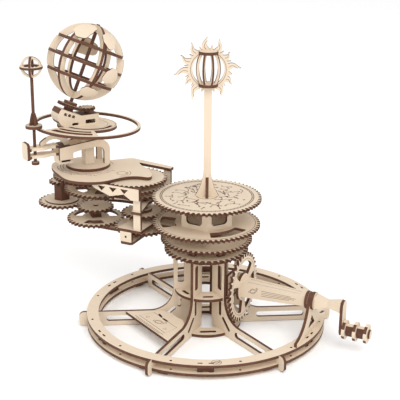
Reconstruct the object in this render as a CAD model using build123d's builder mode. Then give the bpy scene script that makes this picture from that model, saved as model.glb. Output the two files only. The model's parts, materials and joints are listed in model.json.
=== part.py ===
"""Hand-cranked orrery in laser-cut plywood: Sun, Earth and Moon driven by flat gears.

Frame: millimetres, +Z up, origin on the column axis at the floor, +X along the crank shaft.
The Earth arm points along -X at rest.
"""
from build123d import *
import os
from math import cos, pi, radians, sin, tan

os.makedirs("parts", exist_ok=True)

# ---------------------------------------------------------------- driving dimensions
ply = 3.0                      # plywood thickness
joint_gap = 0.3                # air between faces of different moving bodies
running = 0.08                 # radial clearance of a shaft in its hole

# gear trains: module and tooth numbers
low_module = 1.7               # crown-side train
top_module = 1.62              # train under the Earth platform
crown_module = 2.0             # right-angle pair at the crank
tilt_module = 1.3              # small pair under the globe
crown_teeth = 41
crank_teeth = 34
drive_teeth = 53
idler_teeth = 33
low_sun_teeth = 62
planet_teeth = 24
lower_teeth = 34
lower_pinion_teeth = 21
outer_teeth = 28
outer_pinion_teeth = 14
middle_teeth = 42
planet_pinion_teeth = 18
top_sun_teeth = 66
day_driver_teeth = 36
mount_driver_teeth = 24
moon_driver_teeth = 40
day_teeth = 32
mount_teeth = 44
moon_teeth = 28
day_pinion_teeth = 12
globe_teeth = 18

# levels (underside of each flat piece)
crown_z = 82.0
drive_z = 93.5
arm_plate_z = 101.0
lower_pinion_z = 105.5
low_sun_z = 109.0
middle_plate_z = 121.0
middle_gear_z = 128.0
top_sun_z = 136.7
mount_gear_z = 140.7
moon_gear_z = 144.6
platform_z = 148.5
lower_plate_z = 87.2

# stand
ring_outer = 123.0
ring_inner = 111.0
upper_ring_z = 12.5
lower_ring_z = 3.4
spoke_reach = 131.0
spoke_height = 15.5
spoke_count = 6
first_spoke = 30.0
fin_inner = 13.0
fin_outer = 33.5
fin_flare = 24.0
fin_top = 78.5
lap_radius = 22.0              # fins are notched inside this radius, discs outside it
bottom_disc = 36.5
middle_disc = 32.0
middle_disc_z = 37.0
top_disc = 34.0
tube_outer = 7.0
tube_inner = 4.5

# crank
shaft_z = 48.5
crank_gear_x = 39.3
journal = 4.0
post_x = 113.0
crank_arm_x = 146.0
handle_z = 24.7
handle_end_x = 176.5

# Earth and Moon
moon_azimuth = 236.0           # rest direction of the Moon arm about the Earth axis
axial_tilt = 23.44
globe_radius = 39.0
globe_z = 262.0
track_radius = 54.0
track_tilt = 3.0
track_z = 196.0
rod_offset = 58.5
moon_z = 262.5
moon_radius = 10.5


def pitch_radius(teeth, module):
    return teeth * module / 2


# axes along the arm, worked out from the tooth numbers
planet_r = pitch_radius(low_sun_teeth + planet_teeth, low_module)
lower_r = planet_r + pitch_radius(idler_teeth + lower_teeth, low_module)
outer_r = lower_r + pitch_radius(lower_pinion_teeth + outer_teeth, low_module)
middle_r = planet_r + pitch_radius(planet_pinion_teeth + middle_teeth, low_module)
upper_r = pitch_radius(top_sun_teeth + day_driver_teeth, top_module)
earth_r = upper_r + pitch_radius(day_driver_teeth + day_teeth, top_module)


# ---------------------------------------------------------------- gears
def gear_points(teeth, module, phase=0.0, root_half=0.31, tip_half=0.13):
    """Outline of a straight-flanked laser-cut gear; one tooth is centred on phase (radians)."""
    pitch = 2 * pi / teeth
    root = module * (teeth / 2 - 1.15)
    tip = module * (teeth / 2 + 0.85)
    points = []
    for index in range(teeth):
        centre = phase + index * pitch
        for radius, shift in ((root, -root_half), (tip, -tip_half), (tip, tip_half), (root, root_half)):
            angle = centre + shift * pitch
            points.append((radius * cos(angle), radius * sin(angle)))
    return points


def mesh_phase(teeth_a, phase_a, teeth_b, direction):
    """Phase of gear b so that it meshes with gear a, which lies back along direction from b."""
    lead = (direction - phase_a) * teeth_a / (2 * pi)
    return direction + pi - (0.5 - lead) * 2 * pi / teeth_b


outward = pi                   # the arm's direction from the column
planet_phase = mesh_phase(low_sun_teeth, 0.0, planet_teeth, outward)
idler_phase = mesh_phase(drive_teeth, 0.0, idler_teeth, outward)
lower_phase = mesh_phase(idler_teeth, idler_phase, lower_teeth, outward)
outer_phase = mesh_phase(lower_pinion_teeth, lower_phase, outer_teeth, outward)
middle_phase = mesh_phase(planet_pinion_teeth, planet_phase, middle_teeth, outward)
outer_pinion_phase = mesh_phase(middle_teeth, middle_phase, outer_pinion_teeth, outward)
upper_phase = mesh_phase(top_sun_teeth, 0.0, day_driver_teeth, outward)
day_phase = mesh_phase(day_driver_teeth, upper_phase, day_teeth, outward)
mount_phase = mesh_phase(mount_driver_teeth, upper_phase, mount_teeth, outward)
moon_phase = mesh_phase(moon_driver_teeth, upper_phase, moon_teeth, outward)


def polar(radius, azimuth):
    return (radius * cos(radians(azimuth)), radius * sin(radians(azimuth)))


def ring_window(middle, width, start, size):
    """Opening bounded by two arcs about the centre and two radial ends, angles in degrees."""
    inner = middle - width / 2
    outer = middle + width / 2
    with BuildSketch() as window:
        with BuildLine():
            CenterArc((0, 0), inner, start, size)
            CenterArc((0, 0), outer, start, size)
            Line(polar(inner, start), polar(outer, start))
            Line(polar(inner, start + size), polar(outer, start + size))
        make_face()
        fillet(window.vertices(), min(width / 4, 1.6))
    return window.sketch


def at(radius, z):
    """Horizontal plane on the arm's line, radius out from the column."""
    return Plane((-radius, 0, z))


def finish(part, name):
    part.label = name
    export_step(part, f"parts/{name}.step")


# ---------------------------------------------------------------- stand: rings and feet
def ring_plate(z):
    """Flat ring with a peg hole at each spoke and a slot pair and hole pair between spokes."""
    middle = (ring_outer + ring_inner) / 2 + 1.5
    with BuildPart() as ring:
        with BuildSketch(Plane.XY.offset(z)):
            Circle(ring_outer)
            Circle(ring_inner, mode=Mode.SUBTRACT)
            for index in range(spoke_count):
                spoke = first_spoke + index * 360 / spoke_count
                with PolarLocations(middle, 1, start_angle=spoke + 9):
                    Circle(1.3, mode=Mode.SUBTRACT)
                with PolarLocations(middle, 1, start_angle=spoke + 41):
                    Circle(1.3, mode=Mode.SUBTRACT)
                for shift in (22.5, 27.5):
                    with PolarLocations(middle, 1, start_angle=spoke + shift):
                        SlotOverall(5.0, 1.8, rotation=90, mode=Mode.SUBTRACT)
        extrude(amount=ply)
    return ring.part


finish(ring_plate(upper_ring_z), "base_ring_upper")
finish(ring_plate(lower_ring_z), "base_ring_lower")

spacer_length = 16.0
foot_radius = 7.0
with BuildPart() as feet:
    with BuildSketch(Plane.XY.offset(lower_ring_z + ply)):
        with PolarLocations((ring_outer + ring_inner) / 2, spoke_count, start_angle=first_spoke + 25):
            Rectangle(ply, spacer_length)
    extrude(amount=upper_ring_z - lower_ring_z - ply)
    for index in range(spoke_count):
        azimuth = first_spoke + index * 360 / spoke_count
        for side in (-1, 1):
            turn = radians(azimuth + side * 5.0)
            spot = Vector(117 * cos(turn), 117 * sin(turn), 0)
            with BuildSketch(Plane(spot, x_dir=(cos(turn), sin(turn), 0), z_dir=(0, 0, 1))):
                Rectangle(ply, 2 * foot_radius - 4)
            extrude(amount=lower_ring_z)
finish(feet.part, "ring_feet")


# ---------------------------------------------------------------- stand: spokes and column
def spoke_plate(azimuth):
    """Upright L-shaped plate: a slotted spoke that flares into a windowed column fin."""
    turn = radians(azimuth)
    plane = Plane((0, 0, 0), x_dir=(cos(turn), sin(turn), 0), z_dir=(sin(turn), -cos(turn), 0))
    corner = fin_outer + fin_flare
    with BuildPart() as spoke:
        with BuildSketch(plane):
            with BuildLine():
                Line((fin_inner, ply), (bottom_disc, ply))
                Line((bottom_disc, ply), (bottom_disc, 0))
                Line((bottom_disc, 0), (spoke_reach - 5, 0))
                RadiusArc((spoke_reach - 5, 0), (spoke_reach, 5), -5)
                Line((spoke_reach, 5), (spoke_reach, spoke_height - 5))
                RadiusArc((spoke_reach, spoke_height - 5), (spoke_reach - 5, spoke_height), -5)
                Line((spoke_reach - 5, spoke_height), (corner, spoke_height))
                RadiusArc((corner, spoke_height), (fin_outer, spoke_height + fin_flare), fin_flare)
                Line((fin_outer, spoke_height + fin_flare), (fin_outer, fin_top))
                Line((fin_outer, fin_top), (fin_inner, fin_top))
                Line((fin_inner, fin_top), (fin_inner, ply))
            make_face()
            # laps for the two rings and for the middle disc
            lap_play = 0.1
            band = (ring_inner + ring_outer) / 2
            with Locations((band, upper_ring_z + 5)):
                Rectangle(ring_outer - ring_inner + lap_play, 10, mode=Mode.SUBTRACT)
            with Locations((band, lower_ring_z + ply - 5)):
                Rectangle(ring_outer - ring_inner + lap_play, 10, mode=Mode.SUBTRACT)
            with Locations(((fin_inner + lap_radius) / 2, middle_disc_z + ply / 2)):
                Rectangle(lap_radius - fin_inner, ply, mode=Mode.SUBTRACT)
            # lightening slots
            with Locations((78, 7.8)):
                SlotOverall(50, 6.0, mode=Mode.SUBTRACT)
            with Locations((26, 60)):
                RectangleRounded(6.5, 26, 2.0, mode=Mode.SUBTRACT)
            with Locations((27.5, 27)):
                SlotOverall(16, 4.0, rotation=90, mode=Mode.SUBTRACT)
            with Locations((38, 13)):
                SlotOverall(17, 3.6, rotation=-42, mode=Mode.SUBTRACT)
        extrude(amount=ply / 2, both=True)
    return spoke.part


with BuildPart() as spokes:
    for index in range(spoke_count):
        add(spoke_plate(first_spoke + index * 360 / spoke_count))
finish(spokes.part, "spokes")

with BuildPart() as bottom_plate:
    with BuildSketch():
        Circle(bottom_disc)
        Circle(20, mode=Mode.SUBTRACT)
        with PolarLocations(29, spoke_count, start_angle=first_spoke + 30):
            SlotOverall(17, 4, rotation=90, mode=Mode.SUBTRACT)
    extrude(amount=ply)
finish(bottom_plate.part, "column_disc_bottom")

with BuildPart() as middle_plate_disc:
    with BuildSketch(Plane.XY.offset(middle_disc_z)):
        Circle(middle_disc)
        Circle(fin_inner, mode=Mode.SUBTRACT)
        with PolarLocations((lap_radius + middle_disc + 5) / 2, spoke_count, start_angle=first_spoke):
            Rectangle(middle_disc + 5 - lap_radius, ply, mode=Mode.SUBTRACT)
        with PolarLocations(25, spoke_count, start_angle=first_spoke + 30):
            SlotOverall(11, 3.4, rotation=90, mode=Mode.SUBTRACT)
    extrude(amount=ply)
finish(middle_plate_disc.part, "column_disc_middle")

with BuildPart() as top_plate_disc:
    with BuildSketch(Plane.XY.offset(fin_top)):
        Circle(top_disc)
        Circle(tube_outer, mode=Mode.SUBTRACT)
    extrude(amount=ply)
finish(top_plate_disc.part, "column_disc_top")

with BuildPart() as centre_tube:
    with BuildSketch(Plane.XY.offset(fin_top)):
        Circle(tube_outer)
        Circle(tube_inner, mode=Mode.SUBTRACT)
    extrude(amount=low_sun_z + ply - fin_top)
finish(centre_tube.part, "centre_tube")

# flat name plate laid between the left and front-left spokes
with BuildPart() as name_plate:
    with BuildSketch(Plane.XY.offset(spoke_height - ply)):
        with BuildLine():
            Polyline(polar(83, 211.3), polar(83, 268.7), polar(45, 267.6), polar(36.5, 255))
            ThreePointArc(polar(36.5, 255), polar(36.5, 240), polar(36.5, 225))
            Polyline(polar(36.5, 225), polar(45, 212.4), polar(83, 211.3))
        make_face()
        with PolarLocations(50, 2, start_angle=227, angular_range=26):
            SlotOverall(9, 2.4, rotation=90, mode=Mode.SUBTRACT)
    extrude(amount=ply)
finish(name_plate.part, "name_plate")

# ---------------------------------------------------------------- stand: crank supports
with BuildPart() as crank_post:
    with BuildSketch(Plane((post_x, 0, 0), x_dir=(0, 1, 0), z_dir=(1, 0, 0))):
        with BuildLine():
            base = upper_ring_z + ply
            Line((-41, base), (41, base))
            Line((41, base), (41, base + 4))
            ThreePointArc((41, base + 4), (16, 32), (8.5, shaft_z))
            ThreePointArc((8.5, shaft_z), (0, shaft_z + 8.5), (-8.5, shaft_z))
            ThreePointArc((-8.5, shaft_z), (-16, 32), (-41, base + 4))
            Line((-41, base + 4), (-41, base))
        make_face()
        with Locations((0, shaft_z)):
            Circle(journal + running, mode=Mode.SUBTRACT)
        with BuildLine():
            Polyline((-9, 22), (9, 22), (0, 33), close=True)
        make_face(mode=Mode.SUBTRACT)
    extrude(amount=ply)
with BuildPart() as post_discs:
    for side_x in (post_x - ply, post_x + ply):
        with BuildSketch(Plane((side_x, 0, shaft_z), x_dir=(0, 1, 0), z_dir=(1, 0, 0))):
            Circle(9.0)
            Circle(journal + running, mode=Mode.SUBTRACT)
        extrude(amount=ply)
finish(crank_post.part + post_discs.part, "crank_post")

inner_bearing_x = 27.0
with BuildPart() as inner_bearing:
    with BuildSketch(Plane((inner_bearing_x, 0, 0), x_dir=(0, 1, 0), z_dir=(1, 0, 0))):
        with Locations((0, middle_disc_z + ply + 11)):
            Rectangle(24, 22)
        with Locations((0, shaft_z)):
            Circle(journal + running, mode=Mode.SUBTRACT)
    extrude(amount=ply)
finish(inner_bearing.part, "crank_inner_bearing")

# ---------------------------------------------------------------- stand: fixed Sun gears and Sun
def disc_gear(z, teeth, module, phase, radius, bore, openings=()):
    """Flat gear of one ply on a vertical axis of the arm line, with curved openings cut in it."""
    with BuildPart() as gear:
        with BuildSketch(at(radius, z)):
            Polygon(*gear_points(teeth, module, phase), align=None)
            Circle(bore, mode=Mode.SUBTRACT)
            for opening in openings:
                add(ring_window(*opening), mode=Mode.SUBTRACT)
        extrude(amount=ply)
    return gear.part


def ring_of_slots(middle, width, count, size, start=0.0):
    return [(middle, width, start + index * 360 / count, size) for index in range(count)]


finish(disc_gear(low_sun_z, low_sun_teeth, low_module, 0.0, 0, tube_outer,
                 ((39.5, 15, 188, 40), (38.5, 13, 300, 56), (38.5, 13, 62, 56))), "low_sun_gear")

drum_radius = 29.0
drum_wall = 3.0
drum_height = top_sun_z - low_sun_z - ply
with BuildPart() as drum:
    with BuildSketch(Plane.XY.offset(low_sun_z + ply)):
        RegularPolygon(drum_radius, 6, rotation=-65)
        RegularPolygon(drum_radius - drum_wall, 6, rotation=-65, mode=Mode.SUBTRACT)
    extrude(amount=drum_height)
    for index in range(3):
        turn = radians(-35 + index * 60)
        face = Plane((0, 0, low_sun_z + ply + drum_height / 2), x_dir=(-sin(turn), cos(turn), 0),
                     z_dir=(cos(turn), sin(turn), 0))
        with BuildSketch(face):
            RectangleRounded(18, drum_height - 9, 4)
        extrude(amount=drum_radius + 5, both=True, mode=Mode.SUBTRACT)
finish(drum.part, "sun_drum")

finish(disc_gear(top_sun_z, top_sun_teeth, top_module, 0.0, 0, 3.0), "top_sun_gear")

sun_azimuth = radians(-65.3)
sun_z = 268.0
post_top = 251.5
post_half = 3.8
post_base_half = 12.0
post_base_z = top_sun_z + ply


def post_plate(azimuth):
    """Upright strip of the Sun post, flared at its foot."""
    plane = Plane((0, 0, 0), x_dir=(cos(azimuth), sin(azimuth), 0),
                  z_dir=(sin(azimuth), -cos(azimuth), 0))
    with BuildPart() as plate:
        with BuildSketch(plane):
            with BuildLine():
                Line((-post_base_half, post_base_z), (post_base_half, post_base_z))
                ThreePointArc((post_base_half, post_base_z), (post_half + 2.2, post_base_z + 13),
                              (post_half, post_base_z + 32))
                Line((post_half, post_base_z + 32), (post_half, post_top))
                Line((post_half, post_top), (-post_half, post_top))
                Line((-post_half, post_top), (-post_half, post_base_z + 32))
                ThreePointArc((-post_half, post_base_z + 32), (-post_half - 2.2, post_base_z + 13),
                              (-post_base_half, post_base_z))
            make_face()
        extrude(amount=ply / 2, both=True)
    return plate.part


gusset_top = post_base_z + 32
with BuildPart() as gusset:
    with BuildSketch(Plane((0, 0, 0), x_dir=(cos(sun_azimuth), sin(sun_azimuth), 0),
                           z_dir=(sin(sun_azimuth), -cos(sun_azimuth), 0))):
        with BuildLine():
            ThreePointArc((9, post_base_z), (4, post_base_z + 12), (ply / 2, gusset_top))
            Line((ply / 2, gusset_top), (-ply / 2, gusset_top))
            ThreePointArc((-ply / 2, gusset_top), (-4, post_base_z + 12), (-9, post_base_z))
            Line((-9, post_base_z), (9, post_base_z))
        make_face()
    extrude(amount=ply / 2, both=True)
finish(post_plate(sun_azimuth + pi / 2) + gusset.part, "sun_post")

lantern_disc = 9.5
lantern_half = 13.5
with BuildPart() as lantern_discs:
    for z in (post_top, sun_z + lantern_half + 1.5):
        with BuildSketch(Plane.XY.offset(z)):
            Circle(lantern_disc)
        extrude(amount=ply)

rib_count = 8
rib_low = post_top + ply
rib_high = sun_z + lantern_half + 1.5
with BuildPart() as lantern_ribs:
    for index in range(rib_count):
        turn = sun_azimuth + radians((index + 0.5) * 360 / rib_count)
        plane = Plane((0, 0, 0), x_dir=(cos(turn), sin(turn), 0), z_dir=(sin(turn), -cos(turn), 0))
        with BuildSketch(plane):
            with BuildLine():
                ThreePointArc((9, rib_low), (12.5, sun_z), (9, rib_high))
                Line((9, rib_high), (6.5, rib_high))
                ThreePointArc((6.5, rib_high), (10, sun_z), (6.5, rib_low))
                Line((6.5, rib_low), (9, rib_low))
            make_face()
        extrude(amount=1.0, both=True)
finish(lantern_discs.part + lantern_ribs.part, "sun_lantern")

flame_root = 19.5
flame_hole = 15.5
flame_count = 8


def flame(azimuth, length, half_width, sway):
    """Tongue of flame as an S-curved leaf: points go up its left side and down its right side."""
    with BuildSketch() as tongue:
        sides = []
        for side in (1, -1):
            points = []
            for step in (0, 0.3, 0.65, 1):
                middle = sway * sin(step * 1.5 * pi)
                reach = side * half_width * (1 - step) ** 0.75
                points.append((flame_root - 1.5 + step * length, middle + reach))
            sides.append(points)
        with BuildLine(Plane.XY.rotated((0, 0, azimuth))):
            Spline(*sides[0])
            Spline(*sides[1])
            Line(sides[0][0], sides[1][0])
        make_face()
    return tongue.sketch


flame_plane = Plane((0, 0, sun_z), x_dir=(-sin(sun_azimuth), cos(sun_azimuth), 0),
                    z_dir=(cos(sun_azimuth), sin(sun_azimuth), 0))
with BuildPart() as flames:
    with BuildSketch(flame_plane):
        Circle(flame_root)
        for index in range(flame_count):
            start = 12 + index * 360 / flame_count
            add(flame(start, 13.5, 4.6, 2.0))
            add(flame(start + 15, 7.0, 2.4, 0.8))
            add(flame(start + 30, 8.5, 2.6, -1.0))
        Circle(flame_hole, mode=Mode.SUBTRACT)
        with Locations((0, -flame_root - 2)):
            Rectangle(2 * post_half + 0.4, 14, mode=Mode.SUBTRACT)
        with Locations((0, lantern_half + 3)):
            Rectangle(2 * lantern_disc + 0.4, ply + 0.2, mode=Mode.SUBTRACT)
        with Locations((0, -lantern_half - 1.5)):
            Rectangle(2 * lantern_disc + 0.4, ply + 0.2, mode=Mode.SUBTRACT)
    extrude(amount=ply / 2, both=True)
finish(flames.part, "sun_flames")

# ---------------------------------------------------------------- crank
with BuildPart() as crank_gear:
    with BuildSketch(Plane((crank_gear_x, 0, shaft_z), x_dir=(0, 1, 0), z_dir=(1, 0, 0))):
        Polygon(*gear_points(crank_teeth, crown_module, pi / 2, 0.24, 0.10), align=None)
        Circle(journal, mode=Mode.SUBTRACT)
        for opening in ring_of_slots(20.5, 13, 3, 96, 42):
            add(ring_window(*opening), mode=Mode.SUBTRACT)
    extrude(amount=ply)
finish(crank_gear.part, "crank_gear")


box_start = crank_gear_x + ply
box_end = post_x - ply - joint_gap
sleeve_start = post_x + 2 * ply + joint_gap
sleeve_waist = 132.0


def shaft_plane(x):
    """Plane across the crank shaft at one station along it."""
    return Plane((x, 0, shaft_z), x_dir=(0, 1, 0), z_dir=(1, 0, 0))


def tapered_box(start, start_side, end, end_side):
    with BuildPart() as box:
        with BuildSketch(shaft_plane(start)):
            Rectangle(start_side, start_side)
        with BuildSketch(shaft_plane(end)):
            Rectangle(end_side, end_side)
        loft()
    return box.part


def journal_rod(start, end):
    with BuildPart() as pin:
        with BuildSketch(shaft_plane(start)):
            Circle(journal)
        extrude(amount=end - start)
    return pin.part


finish(journal_rod(inner_bearing_x - 1, box_start) + tapered_box(box_start, 16, box_end, 11) +
       journal_rod(box_end, sleeve_start) + tapered_box(sleeve_start, 12, sleeve_waist, 6.5) +
       tapered_box(sleeve_waist, 6.5, crank_arm_x, 11),
       "crank_shaft")

throw = shaft_z - handle_z
pin_radius = 2.5
with BuildPart() as crank_arm:
    with BuildSketch(Plane((crank_arm_x, 0, shaft_z - throw / 2), x_dir=(0, 1, 0), z_dir=(1, 0, 0))):
        SlotCenterToCenter(throw, 13, rotation=90)
        with Locations((0, -throw / 2)):
            Circle(pin_radius, mode=Mode.SUBTRACT)
    extrude(amount=ply)

handle_plane = Plane((crank_arm_x, 0, handle_z), x_dir=(0, 1, 0), z_dir=(1, 0, 0))
with BuildPart() as handle_pin:
    with BuildSketch(handle_plane):
        Circle(pin_radius)
    extrude(amount=handle_end_x - crank_arm_x)
    with BuildSketch(handle_plane.offset(handle_end_x - crank_arm_x - 2)):
        Circle(4.5)
    extrude(amount=2)
finish(crank_arm.part + handle_pin.part, "crank_arm")

spool_start = crank_arm_x + ply + joint_gap
spool_end = handle_end_x - 2 - joint_gap
with BuildPart() as handle_spool:
    with BuildSketch(handle_plane.offset(spool_start - crank_arm_x)):
        RegularPolygon(6.2, 6)
    extrude(amount=spool_end - spool_start)
    for offset in (0, (spool_end - spool_start - ply) / 2, spool_end - spool_start - ply):
        with BuildSketch(handle_plane.offset(spool_start - crank_arm_x + offset)):
            Circle(9.5)
        extrude(amount=ply)
    with BuildSketch(handle_plane.offset(spool_start - crank_arm_x)):
        Circle(pin_radius + running)
    extrude(amount=spool_end - spool_start, mode=Mode.SUBTRACT)
finish(handle_spool.part, "handle_spool")

# ---------------------------------------------------------------- crown: driven double disc
crown_phase = pi / crown_teeth
with BuildPart() as crown_gear:
    with BuildSketch(Plane.XY.offset(crown_z)):
        Polygon(*gear_points(crown_teeth, crown_module, crown_phase, 0.24, 0.10), align=None)
        Circle(tube_outer + running, mode=Mode.SUBTRACT)
    extrude(amount=ply)
finish(crown_gear.part, "crown_gear")

finish(disc_gear(drive_z, drive_teeth, low_module, 0.0, 0, tube_outer + running), "drive_gear")

with BuildPart() as crown_spacers:
    with BuildSketch(Plane.XY.offset(crown_z + ply)):
        with PolarLocations(28, 6, start_angle=25):
            Rectangle(5, 8)
    extrude(amount=drive_z - crown_z - ply)
finish(crown_spacers.part, "crown_spacers")

# ---------------------------------------------------------------- Earth arm frame
axle = 2.5                     # wooden axles of the arm's gears
rail_y = 35.5
with BuildPart() as arm_plate:
    with BuildSketch(Plane.XY.offset(arm_plate_z)):
        Circle(18)
        with Locations((-42, 0)):
            Rectangle(84, 18)
        with Locations((-69, 0)):
            Rectangle(26, 2 * rail_y + ply)
        SlotArc(ThreePointArc((-73, 32), (-130, 41), (-outer_r, 0), mode=Mode.PRIVATE), 10)
        Circle(tube_outer + running, mode=Mode.SUBTRACT)
        with Locations((-planet_r, 0), (-outer_r, 0)):
            Circle(axle, mode=Mode.SUBTRACT)
    extrude(amount=ply)
finish(arm_plate.part, "arm_plate")

with BuildPart() as lower_arm_plate:
    with BuildSketch(Plane.XY.offset(lower_plate_z)):
        with Locations((-(planet_r + lower_r) / 2, 0)):
            SlotCenterToCenter(lower_r - planet_r, 18)
        with Locations((-planet_r, 0)):
            RectangleRounded(14, 2 * rail_y + ply, 3)
        with Locations((-planet_r, 0), (-lower_r, 0)):
            Circle(axle, mode=Mode.SUBTRACT)
    extrude(amount=ply)
finish(lower_arm_plate.part, "arm_plate_lower")

bracket_height = arm_plate_z - lower_plate_z - ply
with BuildPart() as arm_brackets:
    for side in (-1, 1):
        with BuildSketch(Plane((-planet_r, side * rail_y, lower_plate_z + ply), x_dir=(1, 0, 0),
                               z_dir=(0, -1, 0))):
            with Locations((0, bracket_height / 2)):
                Rectangle(13, bracket_height)
                Circle(1.2, mode=Mode.SUBTRACT)
        extrude(amount=ply / 2, both=True)
finish(arm_brackets.part, "arm_brackets")

planet_across = 5.5
far_post = (-107.0, 41.0)
side_post = (-61.0, 33.5)
front_post = (-61.0, -33.5)
with BuildPart() as arm_plate_middle:
    with BuildSketch(Plane.XY.offset(middle_plate_z)):
        SlotArc(ThreePointArc((-middle_r, 0), (-98, 7), (-planet_r, 0), mode=Mode.PRIVATE), 15)
        with Locations((-planet_r, 0)):
            Circle(10)
        with BuildLine():
            Polyline((-100, 3), (-112, 3), (-112, 44), (-102, 44), close=True)
        make_face()
        with BuildLine():
            Polyline((-80, 5), (-64, 3), (-56, 37), (-66, 37), close=True)
        make_face()
        with BuildLine():
            Polyline((-80, -5), (-64, -3), (-56, -37), (-66, -37), close=True)
        make_face()
        with Locations((-middle_r, 0)):
            Circle(axle, mode=Mode.SUBTRACT)
        with Locations((-planet_r, 0)):
            Circle(planet_across + joint_gap, mode=Mode.SUBTRACT)
        with Locations(far_post):
            Rectangle(8, ply, mode=Mode.SUBTRACT)
        with Locations(side_post, front_post):
            Rectangle(8, ply, mode=Mode.SUBTRACT)
    extrude(amount=ply)
finish(arm_plate_middle.part, "arm_plate_middle")

with BuildPart() as arm_posts:
    for spot in (far_post, side_post, front_post):
        with BuildSketch(Plane((spot[0], spot[1], arm_plate_z + ply))):
            Rectangle(8, ply)
        extrude(amount=platform_z - arm_plate_z - ply)
finish(arm_posts.part, "arm_posts")

truss_y = front_post[1] - ply
truss_low = 136.0
with BuildPart() as truss:
    with BuildSketch(Plane((0, truss_y, 0), x_dir=(1, 0, 0), z_dir=(0, -1, 0))):
        with BuildLine():
            Polyline((-114, platform_z), (-57, platform_z), (-57, truss_low), (-66, truss_low),
                     (-74, 141), (-90, truss_low + 1), (-108, 143), close=True)
        make_face()
        for left in (-104, -91, -78):
            with BuildLine():
                Polyline((left, 146.3), (left + 9, 146.3), (left + 4.5, 141.5), close=True)
            make_face(mode=Mode.SUBTRACT)
    extrude(amount=ply / 2, both=True)
finish(truss.part, "platform_truss")

moon_tube = 7.5
mount_tube = 5.0
day_shaft_r = 2.6
with BuildPart() as platform:
    with BuildSketch(Plane.XY.offset(platform_z)):
        with BuildLine():
            Spline((-66, -7), (-88, -21), (-97, -38), (-112, -48), (-131, -50), (-148, -40),
                   (-167, -24), (-176, -5), (-161, 13), (-127, 28), (-106, 45), (-92, 30),
                   (-70, 12), periodic=True)
        make_face()
        with BuildLine():
            Polyline((-106, 45), (-56, 37), (-56, 30), (-96, 34), close=True)
        make_face()
        with Locations((-earth_r, 0)):
            Circle(moon_tube + running, mode=Mode.SUBTRACT)
        with Locations((-upper_r, 0)):
            Circle(axle, mode=Mode.SUBTRACT)
    extrude(amount=ply)
finish(platform.part, "earth_platform")


def rod(radius, low, high, thickness=axle):
    with BuildPart() as pin:
        with BuildSketch(at(radius, low)):
            Circle(thickness)
        extrude(amount=high - low)
    return pin.part


head = 1.2                     # how far an axle stands out beyond the last gear
with BuildPart() as axles:
    add(rod(planet_r, lower_plate_z, middle_gear_z + ply + head))
    add(rod(lower_r, lower_plate_z, lower_pinion_z + ply + head))
    add(rod(outer_r, arm_plate_z, middle_gear_z + ply + head))
    add(rod(middle_r, middle_plate_z, middle_gear_z + ply + head))
    add(rod(upper_r, top_sun_z - 2.3, platform_z + ply))
    add(rod(upper_r, top_sun_z - 2.3, top_sun_z - joint_gap, 5))
finish(axles.part, "arm_axles")

# ---------------------------------------------------------------- gears on the arm
bore = axle + running


def column(radius, low, high, across, sides=6):
    """Hollow prismatic column on an axle, fixed to the gears of one compound wheel."""
    with BuildPart() as post:
        with BuildSketch(at(radius, low)):
            RegularPolygon(across, sides)
            Circle(bore, mode=Mode.SUBTRACT)
        extrude(amount=high - low)
    return post.part


def washer(radius, low, high, size):
    with BuildPart() as disc:
        with BuildSketch(at(radius, low)):
            Circle(size)
            Circle(bore, mode=Mode.SUBTRACT)
        extrude(amount=high - low)
    return disc.part


above_lower = lower_plate_z + ply + joint_gap
above_arm = arm_plate_z + ply + joint_gap
above_middle = middle_plate_z + ply + joint_gap
finish(disc_gear(drive_z, idler_teeth, low_module, idler_phase, planet_r, bore,
                 ring_of_slots(15, 9, 4, 40)) + washer(planet_r, above_lower, drive_z, 6), "idler_gear")
finish(disc_gear(low_sun_z, planet_teeth, low_module, planet_phase, planet_r, bore) +
       washer(planet_r, above_arm, low_sun_z, 6) +
       washer(planet_r, low_sun_z + ply, low_sun_z + 2 * ply, 9.5), "planet_gear")
finish(disc_gear(middle_gear_z, planet_pinion_teeth, low_module, planet_phase, planet_r, bore) +
       column(planet_r, low_sun_z + 2 * ply, middle_gear_z, planet_across), "planet_pinion")

finish(disc_gear(drive_z, lower_teeth, low_module, lower_phase, lower_r, bore,
                 ring_of_slots(19, 10, 3, 56, -92)) + washer(lower_r, above_lower, drive_z, 6),
       "lower_gear")
finish(disc_gear(lower_pinion_z, lower_pinion_teeth, low_module, lower_phase, lower_r, bore) +
       column(lower_r, drive_z + ply, lower_pinion_z, 7.0, 4), "lower_pinion")

finish(disc_gear(lower_pinion_z, outer_teeth, low_module, outer_phase, outer_r, bore) +
       washer(outer_r, above_arm, lower_pinion_z, 6), "outer_gear")
finish(disc_gear(middle_gear_z, outer_pinion_teeth, low_module, outer_pinion_phase, outer_r, bore) +
       column(outer_r, lower_pinion_z + 1.5 * ply, middle_gear_z, 9.0) +
       washer(outer_r, lower_pinion_z + ply, lower_pinion_z + 1.5 * ply, 18), "outer_pinion")

finish(disc_gear(middle_gear_z, middle_teeth, low_module, middle_phase, middle_r, bore,
                 ring_of_slots(20, 12, 5, 44)) + washer(middle_r, above_middle, middle_gear_z, 6),
       "middle_gear")

finish(disc_gear(top_sun_z, day_driver_teeth, top_module, upper_phase, upper_r, bore) +
       washer(upper_r, top_sun_z + ply, mount_gear_z, 9) +
       disc_gear(mount_gear_z, mount_driver_teeth, top_module, upper_phase, upper_r, bore) +
       washer(upper_r, mount_gear_z + ply, moon_gear_z, 9) +
       disc_gear(moon_gear_z, moon_driver_teeth, top_module, upper_phase, upper_r, bore),
       "upper_planet")

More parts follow.
